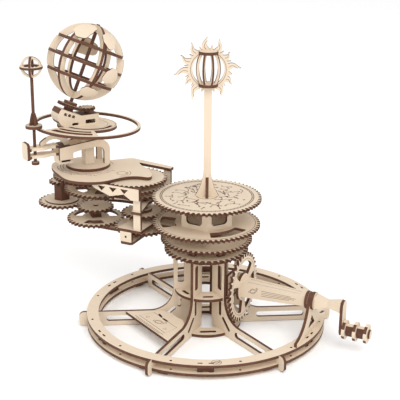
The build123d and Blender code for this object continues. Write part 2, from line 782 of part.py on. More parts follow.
# ---------------------------------------------------------------- Earth axis: nested shafts
finish(disc_gear(top_sun_z, day_teeth, top_module, day_phase, earth_r, day_shaft_r), "day_gear")
finish(disc_gear(mount_gear_z, mount_teeth, top_module, mount_phase, earth_r,
                 day_shaft_r + running), "mount_gear")
finish(disc_gear(moon_gear_z, moon_teeth, top_module, moon_phase, earth_r,
                 mount_tube + running), "moon_gear")


def tube(low, high, outer, inner):
    with BuildPart() as sleeve:
        with BuildSketch(at(earth_r, low)):
            Circle(outer)
            Circle(inner, mode=Mode.SUBTRACT)
        extrude(amount=high - low)
    return sleeve.part


hub_radius = 23.0
carrier_z = platform_z + ply + joint_gap
column_z = carrier_z + ply + joint_gap
day_pinion_z = 212.2
finish(tube(moon_gear_z + ply, carrier_z, moon_tube, mount_tube + running) +
       tube(carrier_z, carrier_z + ply, hub_radius, mount_tube + running), "moon_hub")

# planes of the Earth group: along is the Moon arm's rest direction
turn = radians(moon_azimuth)
along = Vector(cos(turn), sin(turn), 0)
across = Vector(-sin(turn), cos(turn), 0)
earth_foot = Vector(-earth_r, 0, 0)
profile_plane = Plane(earth_foot, x_dir=along, z_dir=along.cross(Vector(0, 0, 1)))
track_lean = radians(track_tilt)
track_plane = Plane(earth_foot + Vector(0, 0, track_z), x_dir=along * cos(track_lean) +
                    Vector(0, 0, sin(track_lean)),
                    z_dir=Vector(0, 0, cos(track_lean)) - along * sin(track_lean))

with BuildPart() as earth_column:
    with BuildSketch(Plane(earth_foot + Vector(0, 0, column_z), x_dir=along, z_dir=(0, 0, 1))):
        Rectangle(10, 10)
        Circle(day_shaft_r + running, mode=Mode.SUBTRACT)
    extrude(amount=track_z - column_z)
    split(bisect_by=track_plane.offset(-ply / 2), keep=Keep.BOTTOM)
finish(earth_column.part + tube(mount_gear_z + ply, column_z, mount_tube, day_shaft_r + running),
       "earth_column")

track_section = 1.5
with BuildPart() as track:
    with BuildSketch(track_plane.offset(-ply / 2)):
        Circle(track_radius + track_section)
        Circle(track_radius - track_section, mode=Mode.SUBTRACT)
        add(ring_window(41.5, 23, 12, 66))
        Circle(31)
        add(ring_window(25.5, 3.6, -30, 170), mode=Mode.SUBTRACT)
        add(ring_window(37, 5, 18, 54), mode=Mode.SUBTRACT)
        add(ring_window(46, 7, 18, 54), mode=Mode.SUBTRACT)
        Circle(4, mode=Mode.SUBTRACT)
    extrude(amount=ply)
finish(track.part, "moon_track")

tilt = radians(axial_tilt)
globe_centre = earth_foot + Vector(0, 0, globe_z)
pole = Vector(0, 0, cos(tilt)) - along * sin(tilt)
globe_x = along * cos(tilt) + Vector(0, 0, sin(tilt))
globe_plane = Plane(globe_centre, x_dir=globe_x, z_dir=pole)

block_half = 9.0
gear_depth = 49.0              # distance of the globe gear's underside below the globe's centre
block_top = 52.6
axle_r = 1.8


def on_axis(depth, side):
    """Point of the profile plane at a depth below the globe's centre and beside its axis."""
    return (depth * sin(tilt) + side * cos(tilt), globe_z - depth * cos(tilt) + side * sin(tilt))


housing_top = 209.0
housing_half = 9.5
with BuildPart() as tilt_block:
    with BuildSketch(profile_plane):
        with BuildLine():
            floor_z = track_z + ply / 2 / cos(track_lean)
            heel = (28, floor_z + 28 * tan(track_lean))
            toe = (10, floor_z + 10 * tan(track_lean))
            Polyline(heel, toe, (10, housing_top), on_axis(block_top, -8.5), on_axis(block_top, 11.5))
            ThreePointArc(on_axis(block_top, 11.5), (35.5, 208), heel)
        make_face()
    extrude(amount=block_half, both=True)
    with BuildSketch(globe_plane.offset(-block_top - 30)):
        Circle(axle_r + running)
    extrude(amount=40, mode=Mode.SUBTRACT)
    with BuildSketch(profile_plane):
        with Locations(Location((23, 210.5, 0), (0, 0, 1), axial_tilt - 2)):
            with GridLocations(4.6, 1, 3, 1):
                RectangleRounded(3.4, 3, 0.8)
        with Locations((17, 201)):
            RectangleRounded(7, 2.4, 0.8)
    extrude(amount=block_half + 1, both=True, mode=Mode.SUBTRACT)
with BuildPart() as housing:
    with BuildSketch(profile_plane):
        with BuildLine():
            Polyline((-housing_half, floor_z - housing_half * tan(track_lean)),
                     (-housing_half, housing_top), (10, housing_top), toe, close=True)
        make_face()
    extrude(amount=block_half, both=True)
    with BuildSketch(Plane(earth_foot + Vector(0, 0, track_z), x_dir=along, z_dir=(0, 0, 1))):
        Rectangle(2 * housing_half - 5, 2 * block_half - 5)
    extrude(amount=housing_top - track_z - 2.5, mode=Mode.SUBTRACT)
    with BuildSketch(Plane(earth_foot + Vector(0, 0, track_z), x_dir=along, z_dir=(0, 0, 1))):
        Circle(day_shaft_r + joint_gap)
    extrude(amount=20, mode=Mode.SUBTRACT)
    with BuildSketch(profile_plane):
        with Locations((0, 202)):
            RectangleRounded(11, 4, 1)
    extrude(amount=block_half + 1, both=True, mode=Mode.SUBTRACT)
finish(tilt_block.part + housing.part, "tilt_block")

with BuildPart() as day_pinion:
    with BuildSketch(Plane(earth_foot + Vector(0, 0, day_pinion_z), x_dir=along, z_dir=(0, 0, 1))):
        Polygon(*gear_points(day_pinion_teeth, tilt_module, 0.0, 0.24, 0.08), align=None)
    extrude(amount=ply)
finish(rod(earth_r, top_sun_z - 2, day_pinion_z, day_shaft_r) + day_pinion.part, "day_shaft")

with BuildPart() as globe_gear:
    with BuildSketch(globe_plane.offset(-gear_depth)):
        Polygon(*gear_points(globe_teeth, tilt_module, pi + pi / globe_teeth, 0.24, 0.08), align=None)
        Circle(axle_r, mode=Mode.SUBTRACT)
    extrude(amount=ply)
finish(globe_gear.part, "globe_gear")

with BuildPart() as globe_axle:
    with BuildSketch(globe_plane.offset(-gear_depth - 12)):
        Circle(axle_r)
    extrude(amount=gear_depth + 12 + globe_radius + 1)
    with BuildSketch(globe_plane.offset(-block_top + joint_gap)):
        Circle(5)
    extrude(amount=block_top - joint_gap - gear_depth)
    with BuildSketch(globe_plane.offset(-gear_depth + ply)):
        Circle(7)
    extrude(amount=ply)
finish(globe_axle.part, "globe_axle")

# ---------------------------------------------------------------- globe
strip = 7.0
latitude_levels = (-17.0, 0.0, 17.0)
meridian_count = 3


def meridian_rings():
    with BuildPart() as rings:
        for index in range(meridian_count):
            angle = radians(34 + index * 180 / meridian_count)
            side = globe_x * cos(angle) + globe_x.cross(pole) * sin(angle)
            with BuildSketch(Plane(globe_centre, x_dir=side, z_dir=side.cross(pole))):
                Circle(globe_radius)
                Circle(globe_radius - strip, mode=Mode.SUBTRACT)
            extrude(amount=ply / 2, both=True)
        with BuildSketch(globe_plane.offset(-globe_radius - 1)):
            Circle(axle_r)
        extrude(amount=2 * globe_radius + 2, mode=Mode.SUBTRACT)
    return rings.part


def latitude_rings(extra):
    """Latitude rings, their outer radius enlarged by extra to cut the notches they sit in."""
    with BuildPart() as rings:
        for level in latitude_levels:
            outer = (globe_radius ** 2 - (abs(level) + ply / 2) ** 2) ** 0.5
            with BuildSketch(globe_plane.offset(level - ply / 2)):
                Circle(outer + extra)
                Circle(outer - strip / 2, mode=Mode.SUBTRACT)
            extrude(amount=ply)
    return rings.part


finish(meridian_rings() - latitude_rings(2.0), "globe_meridians")
finish(latitude_rings(0), "globe_latitudes")

shell = 1.3
skin_radius = globe_radius + 0.03
globe_skin = Plane(globe_centre) * (Sphere(skin_radius + shell) - Sphere(skin_radius))
land_areas = (                 # longitude, latitude and angular half-size of each land area
    (38, 50, 22),
    (98, 46, 18),
    (110, -6, 18),
    (89, -42, 16),
    (250, 22, 22),
    (190, -34, 19),
)

def land_area(longitude, latitude, size):
    """Round cap of the globe's skin, cleared round the globe's axle."""
    lon = radians(longitude)
    lat = radians(latitude)
    side = globe_x * cos(lon) + pole.cross(globe_x) * sin(lon)
    centre_line = side * cos(lat) + pole * sin(lat)
    reach = globe_radius * sin(radians(size))
    cutter = Plane(globe_centre, z_dir=centre_line) * Pos(0, 0, globe_radius) * Cylinder(
        reach, globe_radius)
    return (globe_skin & cutter) - globe_plane * Cylinder(axle_r, 4 * globe_radius)


caps = [land_area(*area) for area in land_areas]
with BuildPart() as land:
    for cap in caps:
        add(cap)
finish(land.part, "globe_land")

# ---------------------------------------------------------------- Moon arm
side_inner = 7.6               # half gap between the two side plates, clear of the Earth column
plate_low = carrier_z + ply
with BuildPart() as side_plates:
    for offset in (-side_inner - ply, side_inner):
        with BuildSketch(profile_plane.offset(offset)):
            with BuildLine():
                Polyline((-14, plate_low), (-20.5, plate_low), (-20.5, 167))
                ThreePointArc((-20.5, 167), (-17, 178), (-7, 181.5))
                ThreePointArc((-7, 181.5), (14, 180), (36, 178))
                Polyline((36, 178), (36, 165), (21, 165), (21, 171.5))
                ThreePointArc((21, 171.5), (8, 173.5), (-6, 174.2))
                ThreePointArc((-6, 174.2), (-12, 172), (-14, 166))
                Line((-14, 166), (-14, plate_low))
            make_face()
        extrude(amount=ply)
finish(side_plates.part, "moon_side_plates")

block_low = 160.0
deck_low = 169.5
deck_high = 177.5
block_start = 21.0
block_end = 35.0
with BuildPart() as joint_block:
    with BuildSketch(profile_plane):
        with Locations(((block_start + block_end) / 2, (block_low + 178) / 2)):
            Rectangle(block_end - block_start, 178 - block_low)
            Rectangle(block_end - block_start - 4, 178 - block_low - 4, mode=Mode.SUBTRACT)
    extrude(amount=side_inner, both=True)
finish(joint_block.part, "moon_joint_block")

deck_end = 66.5
rod_r = 1.6
with BuildPart() as decks:
    for level in (deck_low, deck_high):
        with BuildSketch(Plane(earth_foot + Vector(0, 0, level), x_dir=along, z_dir=(0, 0, 1))):
            with BuildLine():
                Spline((block_end, 7), (44, 5), (52, 7.2), (60, 5.2), (deck_end, 7))
                Line((deck_end, 7), (deck_end, -7))
                Spline((deck_end, -7), (60, -5.2), (52, -7.2), (44, -5), (block_end, -7))
                Line((block_end, -7), (block_end, 7))
            make_face()
            with Locations((rod_offset, 0)):
                Circle(rod_r + running, mode=Mode.SUBTRACT)
        extrude(amount=ply)

with BuildPart() as end_plate:
    with BuildSketch(Plane(earth_foot + along * deck_end, x_dir=across, z_dir=along)):
        with Locations((0, 177)):
            RectangleRounded(15, 18, 3)
    extrude(amount=ply)
finish(end_plate.part, "moon_end_plate")

with BuildPart() as brace:
    with BuildSketch(profile_plane):
        with BuildLine():
            Polyline((22, 178), (22, 184))
            ThreePointArc((22, 184), (36, 190), (53, 184))
            Polyline((53, 184), (53, deck_high + ply), (49, deck_high + ply))
            ThreePointArc((49, deck_high + ply), (38, 186), (27, 178))
            Line((27, 178), (22, 178))
        make_face()
    extrude(amount=ply / 2, both=True)
finish(decks.part + brace.part, "moon_decks")

disc_low = 200.45
with BuildPart() as moon_rod:
    rod_foot = earth_foot + along * rod_offset
    with BuildSketch(Plane(rod_foot + Vector(0, 0, 162), x_dir=along, z_dir=(0, 0, 1))):
        Circle(rod_r)
    extrude(amount=moon_z - moon_radius + 2 - 162)
    with BuildSketch(Plane(rod_foot + Vector(0, 0, 162), x_dir=along, z_dir=(0, 0, 1))):
        Circle(4)
    extrude(amount=ply)
    with BuildSketch(Plane(rod_foot + Vector(0, 0, disc_low), x_dir=along, z_dir=(0, 0, 1))):
        Circle(8.5)
    extrude(amount=ply)
    for direction in (along, across):
        with BuildSketch(Plane(rod_foot, x_dir=direction, z_dir=direction.cross(Vector(0, 0, 1)))):
            with BuildLine():
                Line((-4.5, disc_low + ply), (4.5, disc_low + ply))
                ThreePointArc((4.5, disc_low + ply), (3.6, 209), (1.8, 216))
                Line((1.8, 216), (-1.8, 216))
                ThreePointArc((-1.8, 216), (-3.6, 209), (-4.5, disc_low + ply))
            make_face()
        extrude(amount=1, both=True)
finish(moon_rod.part, "moon_rod")

moon_centre = rod_foot + Vector(0, 0, moon_z)
with BuildPart() as moon:
    for direction in (Vector(*polar(1, 295), 0), Vector(*polar(1, 205), 0)):
        with BuildSketch(Plane(moon_centre, z_dir=direction)):
            Circle(moon_radius)
            Circle(moon_radius - 2.2, mode=Mode.SUBTRACT)
        extrude(amount=1.2, both=True)
    with BuildSketch(Plane(moon_centre)):
        Circle(moon_radius + 1)
        Circle(moon_radius - 3, mode=Mode.SUBTRACT)
    extrude(amount=1.2, both=True)
    with BuildSketch(Plane(moon_centre + Vector(0, 0, -moon_radius - 1), z_dir=(0, 0, 1))):
        Circle(rod_r)
    extrude(amount=moon_radius, mode=Mode.SUBTRACT)
finish(moon.part, "moon")
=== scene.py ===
"""Looks of a plywood Sun, Earth and Moon model with a hand crank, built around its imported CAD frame."""

import json
import math
import random

import bpy
from mathutils import Matrix, Vector


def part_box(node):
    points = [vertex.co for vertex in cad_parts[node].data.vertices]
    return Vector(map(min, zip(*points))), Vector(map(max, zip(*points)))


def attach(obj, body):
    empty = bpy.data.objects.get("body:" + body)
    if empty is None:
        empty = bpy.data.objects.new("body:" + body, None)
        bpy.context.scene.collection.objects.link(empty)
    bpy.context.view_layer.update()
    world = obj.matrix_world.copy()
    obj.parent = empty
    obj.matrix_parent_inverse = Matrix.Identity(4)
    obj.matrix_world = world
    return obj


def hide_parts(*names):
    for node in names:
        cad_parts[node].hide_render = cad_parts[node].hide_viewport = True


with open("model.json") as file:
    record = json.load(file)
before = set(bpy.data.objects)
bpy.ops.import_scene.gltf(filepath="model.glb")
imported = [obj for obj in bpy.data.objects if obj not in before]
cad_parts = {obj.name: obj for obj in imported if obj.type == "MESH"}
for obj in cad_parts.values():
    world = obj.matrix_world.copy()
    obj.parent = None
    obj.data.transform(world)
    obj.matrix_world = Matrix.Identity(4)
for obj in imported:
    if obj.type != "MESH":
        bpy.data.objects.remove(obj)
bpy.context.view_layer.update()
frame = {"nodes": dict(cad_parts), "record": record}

nodes = frame["nodes"]
MM = 0.001
UP = Vector((0, 0, 1))

# Directions in the shared frame: +Z up, +X along the crank, the Earth arm along -X.
SUN_FACING = math.radians(-65.3)
MOON_AZIMUTH = math.radians(236)
AXIAL_TILT = math.radians(23.44)
DRUM_FIRST_FACE = math.radians(-35)
SPOKE_FIRST = math.radians(30)


def heading(angle):
    return Vector((math.cos(angle), math.sin(angle), 0))


ALONG = heading(MOON_AZIMUTH)
ACROSS = heading(MOON_AZIMUTH + math.pi / 2)
POLE = UP * math.cos(AXIAL_TILT) - ALONG * math.sin(AXIAL_TILT)


def node_centre(name):
    low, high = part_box(name)
    return (low + high) / 2


# ---------------------------------------------------------------- materials
FACE = (0.70, 0.585, 0.455)
FACE_DEEP = (0.60, 0.475, 0.345)
CUT_EDGE = (0.150, 0.062, 0.034)
BURN = (0.055, 0.022, 0.012)
ENGRAVED = (0.13, 0.068, 0.042)


GRAIN_ALONG = 40.0            # noise scale along and across the wood's fibres, per metre
GRAIN_ACROSS = 420.0
CLOUD_SCALE = 14.0            # slow change of tone over a sheet
CHAR_SCALE = 130.0            # uneven burning of a cut edge
FIBRE_SHARE = 0.55
CLOUD_SHARE = 0.35
TONE_OFFSET = 0.18            # keeps most of a sheet at its paler tone
FACE_LIMIT = 0.93             # cosine above which a surface counts as facing along a direction
RING_LIMIT = 1.4              # less the outward cosine, so that a ring's flat sides count as faces
BOARD_HALF = 2.2 * MM         # a little over half the thickness of a crossed board


def add_node(tree, kind, **values):
    node = tree.nodes.new(kind)
    for key, value in values.items():
        setattr(node, key, value)
    return node


def math_node(tree, operation, first, second=None):
    node = add_node(tree, "ShaderNodeMath", operation=operation)
    for socket, value in zip(node.inputs, (first, second)):
        if value is None:
            continue
        if isinstance(value, (int, float)):
            socket.default_value = value
        else:
            tree.links.new(value, socket)
    return node.outputs[0]


def dot_node(tree, vector, direction):
    node = add_node(tree, "ShaderNodeVectorMath", operation="DOT_PRODUCT")
    tree.links.new(vector, node.inputs[0])
    if isinstance(direction, Vector):
        node.inputs[1].default_value = direction
    else:
        tree.links.new(direction, node.inputs[1])
    return math_node(tree, "ABSOLUTE", node.outputs["Value"])


def mix_colour(tree, factor, first, second):
    node = add_node(tree, "ShaderNodeMix", data_type="RGBA")
    tree.links.new(factor, node.inputs[0])
    for socket, value in ((node.inputs[6], first), (node.inputs[7], second)):
        if isinstance(value, tuple):
            socket.default_value = (*value, 1)
        else:
            tree.links.new(value, socket)
    return node.outputs[2]


def plywood(name, sheet_normals=(), ball_centre=None, skin=False, crossing=None, grain=Vector((1, 0, 0)),
            tone=1.0):
    """Birch plywood: pale sheet faces, and burnt brown wherever the surface is a laser-cut edge.

    A sheet face is one whose normal lies along one of sheet_normals. With ball_centre the pieces are
    also rings of a globe, whose cut edges are the surfaces that face to or from its centre, or with
    skin its curved outer shell, where those surfaces are the sheet faces. With crossing, a point of
    the axis where two thin boards cross, a surface further from it than a board is thick is an edge.
    """
    material = bpy.data.materials.new(name)
    material.use_nodes = True
    tree = material.node_tree
    shader = tree.nodes["Principled BSDF"]
    place = add_node(tree, "ShaderNodeTexCoord")
    normal = place.outputs["Normal"]
    nearness = None
    for direction in sheet_normals:
        along = dot_node(tree, normal, direction)
        if crossing is not None:
            from_crossing = add_node(tree, "ShaderNodeVectorMath", operation="SUBTRACT")
            tree.links.new(place.outputs["Object"], from_crossing.inputs[0])
            from_crossing.inputs[1].default_value = crossing
            depth = dot_node(tree, from_crossing.outputs[0], direction)
            along = math_node(tree, "MULTIPLY", along, math_node(tree, "LESS_THAN", depth, BOARD_HALF))
        nearness = along if nearness is None else math_node(tree, "MAXIMUM", nearness, along)
    if ball_centre is not None:
        offset = add_node(tree, "ShaderNodeVectorMath", operation="SUBTRACT")
        tree.links.new(place.outputs["Object"], offset.inputs[0])
        offset.inputs[1].default_value = ball_centre
        unit = add_node(tree, "ShaderNodeVectorMath", operation="NORMALIZE")
        tree.links.new(offset.outputs[0], unit.inputs[0])
        radial = dot_node(tree, normal, unit.outputs[0])
        if not skin:
            radial = math_node(tree, "SUBTRACT", RING_LIMIT, radial)
        nearness = radial if nearness is None else math_node(tree, "MAXIMUM", nearness, radial)
    is_face = math_node(tree, "GREATER_THAN", nearness, FACE_LIMIT)

    stretch = add_node(tree, "ShaderNodeMapping")
    tree.links.new(place.outputs["Object"], stretch.inputs[0])
    scales = [GRAIN_ALONG if abs(value) > 0.7 else GRAIN_ACROSS for value in grain]
    stretch.inputs["Scale"].default_value = scales
    fibre = add_node(tree, "ShaderNodeTexNoise")
    fibre.inputs["Scale"].default_value = 1.0
    fibre.inputs["Detail"].default_value = 4.0
    tree.links.new(stretch.outputs[0], fibre.inputs["Vector"])
    cloud = add_node(tree, "ShaderNodeTexNoise")
    cloud.inputs["Scale"].default_value = CLOUD_SCALE
    tree.links.new(place.outputs["Object"], cloud.inputs["Vector"])
    amount = math_node(tree, "MULTIPLY", fibre.outputs["Fac"], FIBRE_SHARE)
    amount = math_node(tree, "ADD", amount, math_node(tree, "MULTIPLY", cloud.outputs["Fac"], CLOUD_SHARE))
    amount = math_node(tree, "SUBTRACT", amount, TONE_OFFSET)
    pale = tuple(value * tone for value in FACE)
    deep = tuple(value * tone for value in FACE_DEEP)
    face_colour = mix_colour(tree, amount, pale, deep)
    char = add_node(tree, "ShaderNodeTexNoise")
    char.inputs["Scale"].default_value = CHAR_SCALE
    tree.links.new(place.outputs["Object"], char.inputs["Vector"])
    edge_colour = mix_colour(tree, char.outputs["Fac"], CUT_EDGE, BURN)
    colour = mix_colour(tree, is_face, edge_colour, face_colour)
    tree.links.new(colour, shader.inputs["Base Color"])
    shader.inputs["Roughness"].default_value = 0.62
    shader.inputs["Specular IOR Level"].default_value = 0.25
    bump = add_node(tree, "ShaderNodeBump")
    bump.inputs["Strength"].default_value = 0.05
    bump.inputs["Distance"].default_value = 0.0004
    tree.links.new(fibre.outputs["Fac"], bump.inputs["Height"])
    tree.links.new(bump.outputs[0], shader.inputs["Normal"])
    return material


def plain(name, colour, roughness):
    material = bpy.data.materials.new(name)
    material.use_nodes = True
    shader = material.node_tree.nodes["Principled BSDF"]
    shader.inputs["Base Color"].default_value = (*colour, 1)
    shader.inputs["Roughness"].default_value = roughness
    return material


engraved = plain("engraved_line", ENGRAVED, 0.8)

spoke_normals = [heading(SPOKE_FIRST + math.pi / 2 + math.radians(60 * index)) for index in range(3)]
drum_normals = [heading(DRUM_FIRST_FACE + math.radians(60 * index)) for index in range(3)]
sun_out = heading(SUN_FACING)
sun_side = heading(SUN_FACING + math.pi / 2)
X_AXIS = Vector((1, 0, 0))
Y_AXIS = Vector((0, 1, 0))
GLOBE_CENTRE = node_centre("globe_meridians")

flat_wood = plywood("birch_sheet", [UP])
gear_wood = plywood("birch_gear", [UP], grain=Y_AXIS, tone=0.93)
materials = {
    "spokes": plywood("birch_spokes", spoke_normals, grain=UP),
    "crank_post": plywood("birch_post", [X_AXIS], grain=UP),
    "crank_inner_bearing": plywood("birch_bearing", [X_AXIS], grain=UP),
    "sun_drum": plywood("birch_drum", drum_normals, grain=UP),
    "sun_post": plywood("birch_sun_post", [sun_out, sun_side], crossing=Vector((0, 0, 0)), grain=UP),
    "sun_lantern": plywood("birch_lantern", [UP], ball_centre=node_centre("sun_lantern"), grain=UP),
    "sun_flames": plywood("birch_flames", [sun_out], grain=UP),
    "crank_gear": plywood("birch_crank_gear", [X_AXIS], grain=UP),
    "crank_shaft": plywood("birch_crank_shaft", [Y_AXIS, UP], grain=X_AXIS),
    "crank_arm": plywood("birch_crank_arm", [X_AXIS], grain=UP),
    "handle_spool": plywood("birch_spool", [X_AXIS, Y_AXIS, UP], grain=X_AXIS),
    "arm_brackets": plywood("birch_brackets", [Y_AXIS]),
    "arm_posts": plywood("birch_posts", [Y_AXIS], grain=UP),
    "platform_truss": plywood("birch_truss", [Y_AXIS]),
    "earth_column": plywood("birch_column", [ALONG, ACROSS], grain=UP),
    "tilt_block": plywood("birch_tilt_block", [ACROSS, POLE, ALONG], grain=UP),
    "globe_gear": plywood("birch_globe_gear", [POLE]),
    "globe_axle": plywood("birch_globe_axle", [POLE]),
    "globe_meridians": plywood("birch_meridians", ball_centre=GLOBE_CENTRE, grain=UP),
    "globe_latitudes": plywood("birch_latitudes", [POLE]),
    "moon_side_plates": plywood("birch_side_plates", [ACROSS]),
    "moon_joint_block": plywood("birch_joint", [ACROSS, ALONG]),
    "moon_decks": plywood("birch_decks", [UP, ACROSS]),
    "moon_end_plate": plywood("birch_end_plate", [ALONG], grain=UP),
    "moon_rod": plywood("birch_moon_rod", [UP], grain=UP, tone=0.7),
    "moon": plywood("birch_moon", ball_centre=node_centre("moon"), grain=UP),
}
for name, item in nodes.items():
    item.data.materials.clear()
    slots = [entry["material_slot"] for entry in frame["record"]["subparts"] if entry["node"] == name]
    default = gear_wood if slots[0] == "birch_gear" else flat_wood
    item.data.materials.append(materials.get(name, default))

# ---------------------------------------------------------------- engraved lines
LIFT = 0.03 * MM              # how far the engraving's surface stands off the sheet, to be seen
LINE = 0.55 * MM


class Face:
    """A flat surface to engrave: an origin, two directions in it and the normal it faces."""

    def __init__(self, origin, across, up):
        self.origin = Vector(origin)
        self.across = Vector(across).normalized()
        self.up = Vector(up).normalized()
        self.normal = self.across.cross(self.up)

    def point(self, x, y, lift=LIFT):
        return self.origin + (self.across * x + self.up * y) * MM + self.normal * lift


def mesh_piece(name, body, vertices, faces, material):
    mesh = bpy.data.meshes.new(name)
    mesh.from_pydata(vertices, [], faces)
    mesh.validate()
    mesh.update()
    piece = bpy.data.objects.new(name, mesh)
    bpy.context.scene.collection.objects.link(piece)
    mesh.materials.append(material)
    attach(piece, body)
    return piece


def engrave(name, body, face, strokes, width=LINE):
    """One piece holding every stroke: a stroke is a list of points in millimetres on the face."""
    vertices = []
    faces = []
    half = width / MM / 2
    for stroke in strokes:
        closed = stroke[0] == stroke[-1]
        points = stroke[:-1] if closed else stroke
        count = len(points)
        first = len(vertices)
        for index, (x, y) in enumerate(points):
            before = points[index - 1] if index or closed else points[index]
            after = points[(index + 1) % count] if index < count - 1 or closed else points[index]
            run = math.hypot(after[0] - before[0], after[1] - before[1]) or 1.0
            side_x = -(after[1] - before[1]) / run * half
            side_y = (after[0] - before[0]) / run * half
            vertices.append(face.point(x + side_x, y + side_y))
            vertices.append(face.point(x - side_x, y - side_y))
        for index in range(count if closed else count - 1):
            near = first + 2 * index
            far = first + 2 * ((index + 1) % count)
            faces.append((near, near + 1, far + 1, far))
    return mesh_piece(name, body, vertices, faces, engraved)


def arc(radius, start, size, centre=(0, 0), steps=48):
    """Arc of a circle, angles in degrees; a full turn closes."""
    points = []
    for index in range(steps + 1):
        angle = math.radians(start + size * index / steps)
        points.append((centre[0] + radius * math.cos(angle), centre[1] + radius * math.sin(angle)))
    if abs(size) >= 360:
        points[-1] = points[0]
    return points


def star(centre, size):
    """Small four-pointed star."""
    x, y = centre
    return [(x, y + size), (x + size / 4, y + size / 4), (x + size, y), (x + size / 4, y - size / 4),
            (x, y - size), (x - size / 4, y - size / 4), (x - size, y), (x - size / 4, y + size / 4),
            (x, y + size)]


def planet_emblem(centre, size, lean=20):
    """A ringed planet, the plain mark used on the nameplate, the ring and the crank."""
    x, y = centre
    ring = []
    for index in range(41):
        angle = math.radians(index * 9)
        wide = 1.8 * size * math.cos(angle)
        tall = 0.55 * size * math.sin(angle)
        cos_lean = math.cos(math.radians(lean))
        sin_lean = math.sin(math.radians(lean))
        ring.append((x + wide * cos_lean - tall * sin_lean, y + wide * sin_lean + tall * cos_lean))
    ring[-1] = ring[0]
    return [arc(size, 0, 360, centre), ring, star((x + 1.6 * size, y + 1.3 * size), size / 2)]


def top_face(name, x=0.0, y=0.0):
    """The upper face of a horizontal sheet, with its origin over a point of the frame."""
    return Face((x, y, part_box(name)[1].z), (1, 0, 0), (0, 1, 0))


# star map of the top gear: chains of short strokes from star to star, inside a ruled border
chart = random.Random(11)
SKY_OUTER = 42.0
SKY_INNER = 13.0
SKY_MARGIN = 3
BORDER_OUTER = 47.0
BORDER_INNER = 45.2
SCALE_MARKS = 72
CONSTELLATIONS = 46
GOLDEN_ANGLE = 137.5
strokes = [arc(BORDER_OUTER, 0, 360, steps=96), arc(BORDER_INNER, 0, 360, steps=96), arc(10.5, 0, 360)]
mark_end = BORDER_OUTER - 0.1
for index in range(SCALE_MARKS):
    mark = heading(2 * math.pi * index / SCALE_MARKS)
    strokes.append([(mark.x * BORDER_INNER, mark.y * BORDER_INNER), (mark.x * mark_end, mark.y * mark_end)])
for index in range(CONSTELLATIONS):
    radius = chart.uniform(SKY_INNER + SKY_MARGIN, SKY_OUTER - SKY_MARGIN)
    angle = math.radians(index * GOLDEN_ANGLE)
    x, y = radius * math.cos(angle), radius * math.sin(angle)
    chain = [(x, y)]
    bearing = chart.uniform(0, 2 * math.pi)
    for step in range(chart.randint(3, 5)):
        bearing += chart.uniform(-1.3, 1.3)
        x += chart.uniform(2.5, 5.0) * math.cos(bearing)
        y += chart.uniform(2.5, 5.0) * math.sin(bearing)
        if SKY_INNER < math.hypot(x, y) < SKY_OUTER:
            chain.append((x, y))
    if len(chain) > 1:
        strokes.append(chain)
    strokes.append(star(chain[0], 1.3))
    strokes.append(star(chain[-1], 1.0))
engrave("star_map", "base", top_face("top_sun_gear"), strokes, 0.75 * MM)

engrave("low_gear_rim", "base", top_face("low_sun_gear"), [arc(49.3, 0, 360, steps=96)])
engrave("drive_gear_rim", "crown", top_face("drive_gear"), [arc(42.5, 0, 360, steps=96)])

# flat nameplate: a ruled frame with the planet mark and plain bars where a title would be
plate_face = Face((0, 0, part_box("name_plate")[1].z), heading(math.radians(-30)), heading(math.radians(60)))
strokes = [[(-24, -66), (24, -66), (21, -50), (-21, -50), (-24, -66)]]
strokes += planet_emblem((0, -58), 3.6)
for row, half in ((-69.5, 26), (-71.2, 22)):
    strokes.append([(-half, row), (half, row)])
for side in (-1, 1):
    strokes.append([(side * 15, -63), (side * 19, -61), (side * 15, -59), (side * 15, -63)])
engrave("nameplate_lines", "base", plate_face, strokes)

RING_MIDDLE = 117
ring_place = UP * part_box("base_ring_upper")[1].z + heading(math.radians(-60)) * RING_MIDDLE * MM
ring_face = Face(ring_place, heading(math.radians(30)), heading(math.radians(120)))
engrave("ring_mark", "base", ring_face, planet_emblem((0, 0), 1.9, 0) + [arc(4.6, 0, 360)])

# lines along the crank's tapered box, on the side that faces the front and on its top
CRANK_HEIGHT = 48.5
BOX_START = 42.3              # where the tapered box begins and ends along X, and its half-widths there
BOX_END = 109.7
BOX_HALF = 8.0
BOX_END_HALF = 5.5
taper = (BOX_HALF - BOX_END_HALF) / (BOX_END - BOX_START)
box_side = Face(Vector((BOX_START, -BOX_HALF, CRANK_HEIGHT)) * MM, (1, taper, 0), (0, 0, 1))
strokes = planet_emblem((13, 0.5), 2.6)
for row in (-3.0, -1.2, 0.6, 2.4):
    strokes.append([(22, row), (60 - 3 * abs(row), row * 0.75)])
engrave("crank_side_lines", "crank", box_side, strokes, 0.4 * MM)
box_top = Face(Vector((BOX_START, 0, CRANK_HEIGHT + BOX_HALF)) * MM, (1, 0, -taper), (0, 1, 0))
engrave("crank_top_lines", "crank", box_top, [[(6, -4), (62, -2.6)], [(6, 4), (62, 2.6)]], 0.4 * MM)

